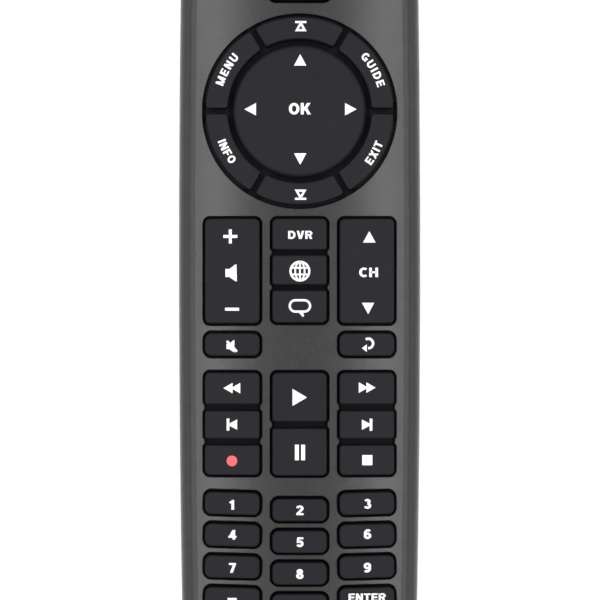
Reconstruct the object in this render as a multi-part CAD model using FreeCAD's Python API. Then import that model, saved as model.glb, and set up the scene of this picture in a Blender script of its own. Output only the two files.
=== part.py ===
import FreeCAD, Part
import math
import os
from collections import namedtuple

# Hand-held remote control lying on its back: keys face +Z, the infrared end points along +Y,
# and the origin is the middle of the flat back. All sizes are in millimetres.

# Casing
body_length = 214.0
body_width = 52.9
widest_y = 10.0
side_arc_radius = 4300.0
end_arc_radius = 90.0
corner_radius = 13.0
crown_drop = 1.749
end_dip_length = 32.0
end_dip_radius = 250.0
end_sweep_spare = 1.5
front_edge_radius = 4.2
belly_radius = 9.0
wall = 2.0
parting_height = 13.0
parting_groove = 0.25
lip_height = 1.4
lip_thickness = 0.9
lip_clearance = 0.08
front_thickness = 2.6
edge_wall = 1.2
hole_edge_round = 0.25

# Keys
key_side_margin = 5.95
column_bridge = 1.85
key_gap = 0.45
key_proud = 1.6
key_edge_round = 0.35
key_corner = 1.1
key_inner_corner = 0.6
small_key_corner = 1.4
opening_pinch = 0.35
key_travel = 0.8
wing_reach = 0.65
wing_share = 0.6
wing_thickness = 0.7
wing_clearance = 0.1
mat_gap = 0.1
stem_radius = 1.8
stem_clearance = 0.5
stem_rest_gap = 0.05

# Key rows, from the cursor pad down; a bridge is the casing between two openings
pad_bridge = 1.8
rocker_height = 22.7
upper_stack_gap = 1.2
upper_stack = (("dvr_key", 6.75), ("globe_key", 6.4), ("bubble_key", 7.0))
short_bridge = 1.25
short_key_height = 4.9
transport_bridge = 2.75
side_stack_gap = 1.4
left_stack = (("rewind_key", 6.85), ("skip_back_key", 6.05), ("record_key", 6.5))
right_stack = (("fast_forward_key", 6.85), ("skip_forward_key", 6.05), ("stop_key", 6.5))
play_stack_gap = 1.45
play_stack = (("play_key", 10.6), ("pause_key", 10.25))
digit_bridge = 2.85
digit_middle_drop = 1.4
digit_pitch = 6.88
digit_height = 4.85
digit_turn = 1.2
digit_rows = (
    ("key_1", "key_2", "key_3"),
    ("key_4", "key_5", "key_6"),
    ("key_7", "key_8", "key_9"),
    ("key_dash", "key_0", "key_enter"),
)
shortcut_width = 14.1
shortcut_height = 6.8
shortcut_bridge = 2.5
shortcut_corner = 2.2
head_row_rise = 10.8
head_key_height = 4.9
power_rise = 12.8
power_diameter = 9.4
power_roundness = 0.499

# Cursor pad and its ring of six keys, named from the right side round the upper end
ring_names = ("guide_key", "page_up_key", "menu_key", "info_key", "page_down_key", "exit_key")
nav_from_end = 44.9
nav_side_margin = 5.35
ring_gap = 0.75
ring_band = 4.75
ring_separator = 1.2
ring_corner = 0.7
ring_flange_half_angle = 24.0
ring_flange_root = 1.0
disc_gap = 1.15
disc_proud = 1.7
disc_dome_radius = 170.0
disc_edge_round = 1.1
disc_rim_thickness = 3.2
disc_cap_thickness = 1.6
skirt_inset = 1.8
skirt_thickness = 1.4
skirt_drop = 1.1
tilt_depth = 2.0
plate_gap = 0.8
plate_thickness = 1.6
plate_hole_radius = 2.8
plate_stem_inset = 1.4
plate_stem_radius = 1.2
plate_stem_drop = 1.6
plunger_radius = 2.2
plunger_rise = 0.5
pivot_radius = 0.62
pivot_length = 3.0
pivot_root = 1.0
pivot_clearance = 0.08
pivot_end_gap = 0.3

# Rockers
rocker_wing_half_depth = 2.4
rocker_wing_drop = 0.2
rocker_stem_offset = 8.0
rocker_stem_drop = 0.85

# Board and keypad sheet
board_thickness = 1.2
board_side_gap = 1.9
board_low_margin = 1.5
board_high_margin = 13.0
board_corner = 2.0
mat_thickness = 0.7
mat_side_gap = 0.5
mat_low_margin = 3.2
mat_high_margin = 1.3
nav_mat_margin = 0.6

# Screws and bosses
screw_shank_radius = 1.25
screw_head_radius = 2.4
screw_head_height = 1.6
screw_length = 11.0
screw_seat_height = 6.0
screw_clearance = 0.2
pilot_clearance = 0.05
head_clearance = 0.25
boss_wall = 1.35
boss_joint_height = 12.0
boss_joint_gap = 0.1
driver_slot_width = 0.8
driver_slot_depth = 0.9
driver_slot_length = 3.2
screw_tip_radius = 0.3
pilot_depth_spare = 1.0
boss_root = 0.2
upper_boss_inset = 7.2
upper_boss_rise = 10.5
lower_boss_inset = 5.5
lower_boss_share = 0.28

# Battery bay, cells and contacts
cell_radius = 7.15
cell_length = 50.5
cell_nub_radius = 2.7
cell_nub_length = 1.3
cell_spacing = 15.4
cell_cover_gap = 0.45
bay_clearance = 0.8
bay_end_margin = 8.5
bay_wall = 1.5
bay_side_wall = 2.2
bay_roof_gap = 0.25
bay_roof_thickness = 0.7
cell_edge_round = 0.6
leaf_room = 6.9
leaf_gap = 0.2
contact_press = 0.2
tab_clearance = 0.15
contact_thickness = 0.4
contact_width = 9.0
contact_height = 10.0
contact_tab_width = 3.0
leaf_width = 5.0
leaf_slant = 0.56

# Battery cover
cover_overlap = 2.5
cover_gap = 0.15
cover_end_height = 10.0
rail_height = 1.3
rail_reach = 1.1
rail_foot = 1.2
rail_lift = 0.3
rail_start = 5.5
tongue_half_width = 2.8
tongue_reach = 2.8
tongue_thickness = 1.2
tongue_lift = 0.2
tongue_foot = 2.6
grip_width = 16.0
grip_length = 9.0
grip_corner = 3.0
grip_depth = 0.6
grip_offset = 9.5
grip_ridge = 0.7
grip_ridge_inset = 1.5
grip_ridge_sink = 0.1
grip_ridges = 5

# Infrared end and indicator
window_half_width = 12.0
window_lift = 1.5
window_height = 5.0
window_clearance = 0.06
window_flange = 0.8
window_flange_thickness = 0.9
led_radius = 2.45
led_collar_radius = 2.85
led_collar_length = 1.0
led_length = 7.9
led_offset_x = 5.4
led_board_gap = 0.5
led_lead_width = 0.5
led_lead_spacing = 2.54
led_lead_length = 6.0
indicator_rise = 10.0
pipe_radius = 1.0
pipe_clearance = 0.05
pipe_proud = 0.1
pipe_flange_radius = 1.7
pipe_flange_thickness = 0.6
pipe_foot_gap = 0.3
indicator_width = 1.6
indicator_height = 0.7

# Faces told apart by the upward share of their normal, edges by their height, points by distance
upright_share = 0.2
level_share = 0.9
height_slack = 0.1
same_point = 1e-6

# Parts soldered under the board
chip_width = 10.0
chip_length = 18.0
chip_height = 2.0
chip_standoff = 0.1
chip_y = 8.0
chip_lead_pitch = 1.27
chip_lead_count = 13
chip_lead_width = 0.4
chip_lead_reach = 1.3
chip_lead_root = 0.4
chip_lead_thickness = 0.3
resonator_size = (7.4, 3.0, 4.0)
resonator_place = (12.0, 26.0)
resonator_corner = 1.44
resonator_edge_round = 0.4
capacitor_radius = 3.1
capacitor_length = 7.5
capacitor_place = (-12.0, 30.0)
capacitor_groove_depth = 0.3
capacitor_groove_width = 0.6
capacitor_groove_offset = 1.1
capacitor_lead_width = 0.5
capacitor_lead_bend = 1.6
board_rib_thickness = 1.4
bay_rib_distance = 18.5
pad_rib_distance = 9.0
power_rib_distance = 1.0
board_rib_inset = 0.4

# Heights, stacked up from the back: cells, bay roof, board, keypad sheet, key shoulders, front wall
cell_height = wall + cell_cover_gap + cell_radius
bay_roof = cell_height + cell_radius + bay_roof_gap
board_bottom = bay_roof + bay_roof_thickness
board_top = board_bottom + board_thickness
mat_top = board_top + mat_thickness
key_bottom = mat_top + mat_gap + key_travel
stem_bottom = board_top + key_travel + stem_rest_gap
ceiling_height = key_bottom + wing_thickness + wing_clearance
face_height = ceiling_height + front_thickness
above_everything = face_height + 20.0
tilt_height = face_height - tilt_depth
disc_height = face_height + disc_proud
skirt_bottom = tilt_height - skirt_drop

# Across the remote: key columns, and the cursor pad from its opening inwards
column_gap = column_bridge + 2 * key_gap
key_width = (body_width - 2 * key_side_margin - 2 * column_gap) / 3
column_pitch = key_width + column_gap
crown_radius = body_width ** 2 / (8 * crown_drop)
ring_sector = 360.0 / len(ring_names)
nav_hole_radius = body_width / 2 - nav_side_margin
ring_outer_radius = nav_hole_radius - ring_gap
ring_inner_radius = ring_outer_radius - ring_band
disc_radius = ring_inner_radius - disc_gap
skirt_outer_radius = disc_radius - skirt_inset
nav_mat_opening = skirt_outer_radius + nav_mat_margin
skirt_inner_radius = skirt_outer_radius - skirt_thickness
plate_radius = skirt_inner_radius - plate_gap
plate_stem_offset = plate_radius - plate_stem_inset

# Places along the remote, from the infrared end down
straight_half_length = body_length / 2 - end_dip_length
nav_y = body_length / 2 - nav_from_end - nav_hole_radius
shortcut_y = nav_y + nav_hole_radius + shortcut_bridge + key_gap + shortcut_height / 2
head_row_y = shortcut_y + head_row_rise
power_y = shortcut_y + power_rise
indicator_y = power_y + indicator_rise
upper_row_top = nav_y - nav_hole_radius - pad_bridge - key_gap
short_row_top = upper_row_top - rocker_height - short_bridge - 2 * key_gap
transport_top = short_row_top - short_key_height - transport_bridge - 2 * key_gap
side_stack_height = sum(height for name, height in left_stack) + (len(left_stack) - 1) * side_stack_gap
digit_first_y = transport_top - side_stack_height - digit_bridge - 2 * key_gap - digit_height / 2
last_row_y = digit_first_y - (len(digit_rows) - 1) * digit_pitch - digit_middle_drop
mat_low_y = last_row_y - mat_low_margin - stem_radius
mat_high_y = power_y + power_diameter / 2 + mat_high_margin
board_low_y = mat_low_y - board_low_margin
board_high_y = power_y + board_high_margin
board_half_width = body_width / 2 - wall - board_side_gap
mat_half_width = board_half_width - mat_side_gap

# Battery bay, from the lower end up
bay_low_y = -body_length / 2 + bay_end_margin
bay_length = cell_length + contact_thickness + contact_press + leaf_room
bay_high_y = bay_low_y + bay_length
bay_half_width = cell_spacing / 2 + cell_radius + bay_clearance
leaf_reach = leaf_room - leaf_gap
left_cell_x = -cell_spacing / 2
right_cell_x = cell_spacing / 2
cover_half_width = bay_half_width
cover_top_y = bay_high_y + cover_overlap
groove_half_width = cover_half_width + rail_reach + cover_gap

board_rib_places = (
    bay_high_y + bay_rib_distance,
    nav_y + pad_rib_distance,
    power_y - power_rib_distance,
)

boss_radius = screw_shank_radius + boss_wall
head_boss_radius = screw_head_radius + head_clearance + boss_wall / 2
upper_boss_x = body_width / 2 - upper_boss_inset - head_clearance
upper_boss_y = power_y + upper_boss_rise
lower_boss_x = body_width / 2 - lower_boss_inset - head_clearance
lower_boss_y = last_row_y - lower_boss_share * (last_row_y + body_length / 2)
boss_places = (
    (-upper_boss_x, upper_boss_y),
    (upper_boss_x, upper_boss_y),
    (-lower_boss_x, lower_boss_y),
    (lower_boss_x, lower_boss_y),
)

Key = namedtuple("Key", "name x y width height radii turn")


def box(x_span, y_span, z_span):
    corner = FreeCAD.Vector(x_span[0], y_span[0], z_span[0])
    return Part.makeBox(x_span[1] - x_span[0], y_span[1] - y_span[0], z_span[1] - z_span[0], corner)


def rod(start, end, radius):
    low = FreeCAD.Vector(*start)
    path = FreeCAD.Vector(*end) - low
    return Part.makeCylinder(radius, path.Length, low, path)


def save(name, shape):
    shape.exportStep("parts/" + name + ".step")
    print(name, len(shape.Solids), round(shape.Volume, 1), shape.isValid())


def rounded_outline(width, height, radii):
    """Face with its own radius at the upper left, upper right, lower right and lower left corner."""
    signs = ((-1, 1), (1, 1), (1, -1), (-1, -1))
    stops = []
    for (sx, sy), radius in zip(signs, radii):
        corner_x = sx * width / 2
        corner_y = sy * height / 2
        beside = FreeCAD.Vector(corner_x, corner_y - sy * radius, 0)
        along = FreeCAD.Vector(corner_x - sx * radius, corner_y, 0)
        slack = radius * (1 - math.sqrt(0.5))
        middle = FreeCAD.Vector(corner_x - sx * slack, corner_y - sy * slack, 0)
        stops.append((beside, middle, along) if sx * sy < 0 else (along, middle, beside))
    edges = []
    for index, (enter, middle, leave) in enumerate(stops):
        edges.append(Part.Arc(enter, middle, leave).toShape())
        following = stops[(index + 1) % len(stops)][0]
        if leave.distanceToPoint(following) > same_point:
            edges.append(Part.LineSegment(leave, following).toShape())
    return Part.Face(Part.Wire(edges))


def placed_prism(face, x, y, turn, low, high):
    shape = face.copy()
    shape.rotate(FreeCAD.Vector(0, 0, 0), FreeCAD.Vector(0, 0, 1), turn)
    shape.translate(FreeCAD.Vector(x, y, low))
    return shape.extrude(FreeCAD.Vector(0, 0, high - low))


def crowned_block(rise):
    """Everything below the front face lifted by rise: an arc across, straight along the keys,
    with both ends dipping along a wide arc."""
    radius = crown_radius + rise
    top = face_height + rise
    half = body_width
    edge_z = top - radius + math.sqrt(radius ** 2 - half ** 2)
    base_z = -above_everything
    start_y = -straight_half_length
    corners = [
        FreeCAD.Vector(half, start_y, edge_z),
        FreeCAD.Vector(half, start_y, base_z),
        FreeCAD.Vector(-half, start_y, base_z),
        FreeCAD.Vector(-half, start_y, edge_z),
    ]
    crest = FreeCAD.Vector(0, start_y, top)
    section = Part.Face(Part.Wire([
        Part.Arc(corners[3], crest, corners[0]).toShape(),
        Part.makePolygon(corners),
    ]))
    middle = section.extrude(FreeCAD.Vector(0, 2 * straight_half_length, 0))
    far = section.copy()
    far.translate(FreeCAD.Vector(0, 2 * straight_half_length, 0))
    dip_z = face_height - end_dip_radius
    sweep = math.degrees(end_sweep_spare * end_dip_length / end_dip_radius)
    upper = far.revolve(FreeCAD.Vector(0, straight_half_length, dip_z), FreeCAD.Vector(-1, 0, 0), sweep)
    lower = section.revolve(FreeCAD.Vector(0, -straight_half_length, dip_z), FreeCAD.Vector(1, 0, 0), sweep)
    return middle.fuse([upper, lower])


def plan_prism(inset, low, high):
    """The casing's outline seen from the front, drawn in by inset."""
    half_length = body_length / 2 - inset
    half_width = body_width / 2 - inset

    def side_x(y):
        return half_width - (y - widest_y) ** 2 / (2 * side_arc_radius)

    end_drop = half_width ** 2 / (2 * end_arc_radius)
    high_y = half_length - end_drop
    low_y = -high_y
    top_right = FreeCAD.Vector(side_x(high_y), high_y, low)
    top_left = FreeCAD.Vector(-side_x(high_y), high_y, low)
    low_right = FreeCAD.Vector(side_x(low_y), low_y, low)
    low_left = FreeCAD.Vector(-side_x(low_y), low_y, low)
    outline = Part.Wire([
        Part.Arc(low_right, FreeCAD.Vector(half_width, widest_y, low), top_right).toShape(),
        Part.Arc(top_right, FreeCAD.Vector(0, half_length, low), top_left).toShape(),
        Part.Arc(top_left, FreeCAD.Vector(-half_width, widest_y, low), low_left).toShape(),
        Part.Arc(low_left, FreeCAD.Vector(0, -half_length, low), low_right).toShape(),
    ])
    prism = Part.Face(outline).extrude(FreeCAD.Vector(0, 0, high - low))
    upright = [edge for edge in prism.Edges if edge.BoundBox.ZLength > 0.5 * (high - low)]
    return prism.makeFillet(corner_radius - inset, upright)


def upward_share(face):
    """How far the middle of a face looks up: 0 for a side face, 1 for a level one."""
    u_low, u_high, v_low, v_high = face.ParameterRange
    return face.normalAt((u_low + u_high) / 2, (v_low + v_high) / 2).z


def level_edges(solid, low, high):
    """Edges of the side faces that lie between two heights."""
    chosen = []
    for face in solid.Faces:
        if abs(upward_share(face)) < upright_share:
            chosen += [e for e in face.Edges if e.BoundBox.ZMin > low and e.BoundBox.ZMax < high]
    return chosen


def casing_solid(inset, round_front=False):
    solid = plan_prism(inset, inset, above_everything).common(crowned_block(-inset))
    belly = level_edges(solid, inset - height_slack, inset + height_slack)
    solid = solid.makeFillet(belly_radius - inset, belly)
    if round_front:
        rim = level_edges(solid, parting_height, above_everything)
        solid = solid.makeFillet(front_edge_radius, rim)
    return solid


def column_key(name, column, top, height, radii):
    return Key(name, column * column_pitch, top - height / 2, key_width, height, radii, 0.0)


def stack_keys(column, top, gap, rows):
    """Keys one below another in one opening, with rounder corners at the stack's two ends."""
    keys = []
    for index, (name, height) in enumerate(rows):
        upper = key_corner if index == 0 else key_inner_corner
        lower = key_corner if index == len(rows) - 1 else key_inner_corner
        keys.append(column_key(name, column, top, height, (upper, upper, lower, lower)))
        top -= height + gap
    return keys


rocker_corners = (key_corner,) * 4
even_corners = (small_key_corner,) * 4
volume_rocker = column_key("volume_rocker", -1, upper_row_top, rocker_height, rocker_corners)
channel_rocker = column_key("channel_rocker", 1, upper_row_top, rocker_height, rocker_corners)
mute_key = column_key("mute_key", -1, short_row_top, short_key_height, even_corners)
return_key = column_key("return_key", 1, short_row_top, short_key_height, even_corners)
stacks = [
    stack_keys(0, upper_row_top, upper_stack_gap, upper_stack),
    stack_keys(-1, transport_top, side_stack_gap, left_stack),
    stack_keys(0, transport_top, play_stack_gap, play_stack),
    stack_keys(1, transport_top, side_stack_gap, right_stack),
]
digit_keys = []
for row, names in enumerate(digit_rows):
    for column, name in zip((-1, 0, 1), names):
        drop = digit_middle_drop if column == 0 else 0.0
        place_y = digit_first_y - row * digit_pitch - drop
        digit_keys.append(Key(name, column * column_pitch, place_y, key_width, digit_height,
                              even_corners, column * digit_turn))
head_keys = [
    Key("shortcut_key", 0.0, shortcut_y, shortcut_width, shortcut_height, (shortcut_corner,) * 4, 0.0),
    Key("tv_key", -column_pitch, head_row_y, key_width, head_key_height, even_corners, -digit_turn),
    Key("aux_key", column_pitch, head_row_y, key_width, head_key_height, even_corners, digit_turn),
    Key("power_key", 0.0, power_y, power_diameter, power_diameter,
        (power_roundness * power_diameter,) * 4, 0.0),
]
rockers = [volume_rocker, channel_rocker]
lone_keys = [mute_key, return_key] + digit_keys + head_keys
push_keys = lone_keys + [key for keys in stacks for key in keys]


def key_prism(key, grow, low, high):
    radii = [radius + grow for radius in key.radii]
    face = rounded_outline(key.width + 2 * grow, key.height + 2 * grow, radii)
    return placed_prism(face, key.x, key.y, key.turn, low, high)


def key_openings():
    """Prisms that pierce the front wall, one for each opening."""
    low = ceiling_height - wall
    openings = [key_prism(key, key_gap, low, above_everything) for key in lone_keys + rockers]
    for keys in stacks:
        lobes = [key_prism(key, key_gap, low, above_everything) for key in keys]
        half = key_width / 2 + key_gap - opening_pinch
        bridge = box((keys[0].x - half, keys[0].x + half), (keys[-1].y, keys[0].y), (low, above_everything))
        openings.append(bridge.fuse(lobes).removeSplitter())
    openings.append(rod((0, nav_y, low), (0, nav_y, above_everything), nav_hole_radius))
    return openings


def round_top(cap, radius):
    """Round the edges between a key's top and its sides."""
    highest = level_edges(cap, ceiling_height + front_thickness / 4, above_everything)
    return cap.makeFillet(radius, highest)


def key_cap(prism):
    return round_top(prism.common(crowned_block(key_proud)), key_edge_round)


def wings(key, half_depth, thickness, drop):
    """Shoulders at both sides that catch under the front wall."""
    reach = key.width / 2 + key_gap + wing_reach
    shape = box((-reach, reach), (-half_depth, half_depth), (key_bottom, key_bottom + thickness - drop))
    shape.rotate(FreeCAD.Vector(0, 0, 0), FreeCAD.Vector(0, 0, 1), key.turn)
    shape.translate(FreeCAD.Vector(key.x, key.y, 0))
    return shape


def push_key(key):
    cap = key_cap(key_prism(key, 0.0, key_bottom, above_everything))
    shoulders = wings(key, wing_share * key.height / 2, wing_thickness, 0.0)
    stem = rod((key.x, key.y, stem_bottom), (key.x, key.y, key_bottom + wing_thickness), stem_radius)
    return cap.fuse([shoulders, stem]).removeSplitter()


def rocker_key(key):
    cap = key_cap(key_prism(key, 0.0, key_bottom, above_everything))
    shoulders = wings(key, rocker_wing_half_depth, wing_thickness, rocker_wing_drop)
    stems = []
    for side in (-1, 1):
        y = key.y + side * rocker_stem_offset
        foot = key_bottom - rocker_stem_drop
        stems.append(rod((key.x, y, foot), (key.x, y, key_bottom + wing_thickness), stem_radius))
    return cap.fuse([shoulders] + stems).removeSplitter()


def wedge(middle_angle, half_angle, back_off, low, high):
    """Prism between two upright planes through the pad's centre, each moved inwards by back_off."""
    reach = 3 * ring_outer_radius
    middle = math.radians(middle_angle)
    half = math.radians(half_angle)
    tip = back_off / math.sin(half)
    points = [(tip, 0.0)]
    points.append((reach * math.cos(half) + tip, reach * math.sin(half)))
    points.append((reach * math.cos(half) + tip, -reach * math.sin(half)))
    turned = []
    for x, y in points + points[:1]:
        turned.append(FreeCAD.Vector(x * math.cos(middle) - y * math.sin(middle),
                                     nav_y + x * math.sin(middle) + y * math.cos(middle), low))
    return Part.Face(Part.makePolygon(turned)).extrude(FreeCAD.Vector(0, 0, high - low))


def nav_ring(inner, outer, low, high):
    return rod((0, nav_y, low), (0, nav_y, high), outer).cut(rod((0, nav_y, low), (0, nav_y, high), inner))


def ring_stem_place(index):
    angle = math.radians((index + 0.5) * ring_sector)
    radius = (ring_inner_radius + ring_outer_radius) / 2
    return radius * math.cos(angle), nav_y + radius * math.sin(angle)


def ring_key(index):
    middle_angle = (index + 0.5) * ring_sector
    low = key_bottom
    sector = nav_ring(ring_inner_radius, ring_outer_radius, low, above_everything)
    sector = sector.common(wedge(middle_angle, ring_sector / 2, ring_separator / 2, low, above_everything))
    upright = [edge for edge in sector.Edges if edge.BoundBox.ZLength > (above_everything - low) / 2]
    cap = key_cap(sector.makeFillet(ring_corner, upright))
    flange = nav_ring(ring_outer_radius - ring_flange_root, nav_hole_radius + wing_reach, low, low + wing_thickness)
    flange = flange.common(wedge(middle_angle, ring_flange_half_angle, 0.0, low, low + wing_thickness))
    x, y = ring_stem_place(index)
    stem = rod((x, y, stem_bottom), (x, y, low + wing_thickness), stem_radius)
    return cap.fuse([flange, stem]).removeSplitter()


def nav_disc():
    """Domed cap with a rounded rim and a skirt that holds two bores along Y."""
    def point(radius, z):
        return FreeCAD.Vector(radius, 0, z)

    shoulder = disc_radius - disc_edge_round
    shoulder_z = disc_height - shoulder ** 2 / (2 * disc_dome_radius)
    half_way_z = disc_height - (shoulder / 2) ** 2 / (2 * disc_dome_radius)
    bend = disc_edge_round * (1 - math.sqrt(0.5))
    rim_z = shoulder_z - disc_edge_round
    rim_bottom = disc_height - disc_rim_thickness
    underside = disc_height - disc_cap_thickness
    profile = Part.Wire([
        Part.Arc(point(0, disc_height), point(shoulder / 2, half_way_z), point(shoulder, shoulder_z)).toShape(),
        Part.Arc(point(shoulder, shoulder_z), point(disc_radius - bend, shoulder_z - bend),
                 point(disc_radius, rim_z)).toShape(),
        Part.makePolygon([
            point(disc_radius, rim_z),
            point(disc_radius, rim_bottom),
            point(skirt_outer_radius, rim_bottom),
            point(skirt_outer_radius, skirt_bottom),
            point(skirt_inner_radius, skirt_bottom),
            point(skirt_inner_radius, underside),
            point(0, underside),
            point(0, disc_height),
        ]),
    ])
    disc = Part.Face(profile).revolve(FreeCAD.Vector(0, 0, 0), FreeCAD.Vector(0, 0, 1), 360)
    reach = skirt_outer_radius + skirt_thickness
    bore = rod((0, -reach, tilt_height), (0, reach, tilt_height), pivot_radius + pivot_clearance)
    disc = disc.cut(bore)
    disc.translate(FreeCAD.Vector(0, nav_y, 0))
    return disc


def nav_rocker_plate():
    """Plate with two pivots along Y for the cap and two blind bores along X for the plunger."""
    low = tilt_height - plate_thickness / 2
    high = tilt_height + plate_thickness / 2
    plate = rod((0, nav_y, low), (0, nav_y, high), plate_radius)
    plate = plate.cut(rod((0, nav_y, low), (0, nav_y, high), plate_hole_radius))
    bore_reach = plate_hole_radius + pivot_length
    bore = rod((-bore_reach, nav_y, tilt_height), (bore_reach, nav_y, tilt_height),
               pivot_radius + pivot_clearance)
    plate = plate.cut(bore)
    for side in (-1, 1):
        inner = nav_y + side * (plate_radius - pivot_root)
        outer = nav_y + side * (skirt_outer_radius - pivot_end_gap)
        plate = plate.fuse(rod((0, inner, tilt_height), (0, outer, tilt_height), pivot_radius))
        stem_y = nav_y + side * plate_stem_offset
        foot = tilt_height - plate_stem_drop
        plate = plate.fuse(rod((0, stem_y, foot), (0, stem_y, tilt_height), plate_stem_radius))
    return plate.removeSplitter()


def nav_plunger():
    body = rod((0, nav_y, stem_bottom), (0, nav_y, tilt_height + plunger_rise), plunger_radius)
    reach = plate_hole_radius + pivot_length - pivot_end_gap
    pivots = rod((-reach, nav_y, tilt_height), (reach, nav_y, tilt_height), pivot_radius)
    return body.fuse(pivots).removeSplitter()


def window_box(grow):
    low = parting_height + window_lift
    return box((-window_half_width - grow, window_half_width + grow),
               (body_length / 2 - 3 * wall, body_length), (low - grow, low + window_height + grow))


def hole_rim_edges(shell):
    """Edges where the openings meet the front face."""
    chosen = []
    for face in shell.Faces:
        if upward_share(face) > level_share:
            for wire in face.Wires:
                if not wire.isSame(face.OuterWire):
                    chosen += wire.Edges
    return chosen


def boss_holes(low, high, radius):
    return [rod((x, y, low), (x, y, high), radius) for x, y in boss_places]


def front_housing():
    """Grey front shell: openings with softened rims, a rebate for the rear's lip, and screw bosses."""
    outer = casing_solid(0.0, round_front=True)
    low = parting_height + parting_groove / 2
    lip_top = parting_height + lip_height
    shell = outer.common(plan_prism(-wall, low, above_everything))
    shell = shell.cut(key_openings())
    shell = shell.makeFillet(hole_edge_round, hole_rim_edges(shell))
    cavity = plan_prism(wall, low, ceiling_height).common(crowned_block(-edge_wall))
    rebate = plan_prism(wall - lip_thickness - lip_clearance, low, lip_top)
    pipe_hole = rod((0, indicator_y, ceiling_height - wall), (0, indicator_y, above_everything),
                    pipe_radius + pipe_clearance)
    shell = shell.cut([cavity, rebate, window_box(window_clearance), pipe_hole])
    joint = boss_joint_height + boss_joint_gap
    bosses = [boss.common(outer) for boss in boss_holes(joint, ceiling_height + boss_root, boss_radius)]
    pilot_top = screw_seat_height + screw_length + pilot_depth_spare
    pilots = boss_holes(joint, pilot_top, screw_shank_radius + pilot_clearance)
    return shell.fuse(bosses).cut(pilots).removeSplitter()


def rail_groove():
    return box((-groove_half_width, groove_half_width), (-body_length, cover_top_y + cover_gap),
               (wall + rail_lift - cover_gap, wall + rail_height + cover_gap))


def rear_shell():
    """Back shell with its locating lip, open where the battery cover goes."""
    high = parting_height - parting_groove / 2
    below = plan_prism(-wall, -wall, high)
    shell = casing_solid(0.0).common(below).cut(casing_solid(wall))
    lip_top = parting_height + lip_height
    lip_foot = high - lip_height
    lip = plan_prism(wall - lip_thickness, lip_foot, lip_top).cut(plan_prism(wall, lip_foot, lip_top))
    shell = shell.fuse(lip.cut(window_box(2 * window_flange)))
    half = cover_half_width + cover_gap
    cover_room = box((-half, half), (-body_length, cover_top_y + cover_gap),
                     (-wall, cover_end_height + cover_gap))
    return shell.cut([cover_room, rail_groove()])


def battery_bay():
    """Open-bottomed trough around the two cells, with grooves for the cover's rails."""
    outer_half = bay_half_width + bay_side_wall
    trough = box((-outer_half, outer_half), (bay_low_y - bay_wall, bay_high_y + bay_wall),
                 (wall / 2, board_bottom))
    room = box((-bay_half_width, bay_half_width), (bay_low_y, bay_high_y), (0, bay_roof))
    skin_room = box((-cover_half_width - cover_gap, cover_half_width + cover_gap),
                    (-body_length, cover_top_y + cover_gap), (0, wall + rail_lift))
    slot_half = tongue_half_width + cover_gap
    slot = box((-slot_half, slot_half), (bay_high_y - bay_wall, bay_high_y + 2 * bay_wall),
               (0, wall + tongue_lift + tongue_thickness + cover_gap))
    end_room = box((-groove_half_width, groove_half_width), (-body_length, bay_low_y),
                   (0, wall + rail_height + cover_gap))
    cuts = [room, skin_room, rail_groove(), slot, end_room]
    for x in (left_cell_x, right_cell_x):
        half = contact_tab_width / 2 + tab_clearance
        cuts.append(box((x - half, x + half),
                        (bay_high_y - contact_thickness - tab_clearance, bay_high_y + tab_clearance),
                        (cell_height, board_bottom)))
    return trough.cut(cuts)


def board_rib(y):
    """Cross wall that carries the circuit board."""
    half = board_rib_thickness / 2
    rib = box((-body_width, body_width), (y - half, y + half), (wall / 2, board_bottom))
    return rib.common(plan_prism(wall + board_rib_inset, 0, board_bottom)).common(casing_solid(wall / 2))


def rear_housing():
    columns = boss_holes(0, boss_joint_height, head_boss_radius)
    bosses = [column.common(casing_solid(0.0)) for column in columns]
    ribs = [board_rib(y) for y in board_rib_places]
    shell = rear_shell().fuse([battery_bay()] + ribs + bosses)
    sinks = boss_holes(-wall, screw_seat_height, screw_head_radius + head_clearance)
    sinks += boss_holes(0, boss_joint_height, screw_shank_radius + screw_clearance)
    return shell.cut(sinks).removeSplitter()


def battery_cover():
    """Cover with rails along both sides, a tongue at its upper edge and a ribbed thumb grip."""
    outer = casing_solid(0.0)
    inner = casing_solid(wall)
    region = box((-cover_half_width, cover_half_width), (-body_length, cover_top_y), (-wall, cover_end_height))
    skin = outer.cut(inner).common(region)
    rail_high_y = cover_top_y - rail_start
    pieces = []
    for side in (-1, 1):
        inside = side * (cover_half_width - rail_foot)
        foot_edge = side * cover_half_width
        lip_edge = side * (cover_half_width + rail_reach)
        foot = box(sorted((inside, foot_edge)), (-body_length, rail_high_y), (wall / 2, wall + rail_height))
        rail = box(sorted((inside, lip_edge)), (-body_length, rail_high_y),
                   (wall + rail_lift, wall + rail_height))
        pieces += [foot.common(outer), rail.common(outer)]
    root = cover_top_y - tongue_foot
    pieces.append(box((-tongue_half_width, tongue_half_width), (root, cover_top_y - cover_gap),
                      (wall / 2, wall + tongue_lift + tongue_thickness)))
    pieces.append(box((-tongue_half_width, tongue_half_width), (root, cover_top_y + tongue_reach),
                      (wall + tongue_lift, wall + tongue_lift + tongue_thickness)))
    cover = skin.fuse(pieces)
    grip_face = rounded_outline(grip_width, grip_length, (grip_corner,) * 4)
    grip_y = cover_top_y - grip_offset
    grip = placed_prism(grip_face, 0, grip_y, 0, -wall, grip_depth)
    step = grip_length / (grip_ridges + 1)
    half_ridge = grip_width / 2 - grip_ridge_inset
    ridges = []
    for index in range(grip_ridges):
        y = grip_y - grip_length / 2 + step * (index + 1)
        ridges.append(box((-half_ridge, half_ridge), (y - grip_ridge / 2, y + grip_ridge / 2),
                          (grip_ridge_sink, grip_depth)))
    return cover.cut(grip).fuse(ridges).removeSplitter()


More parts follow.
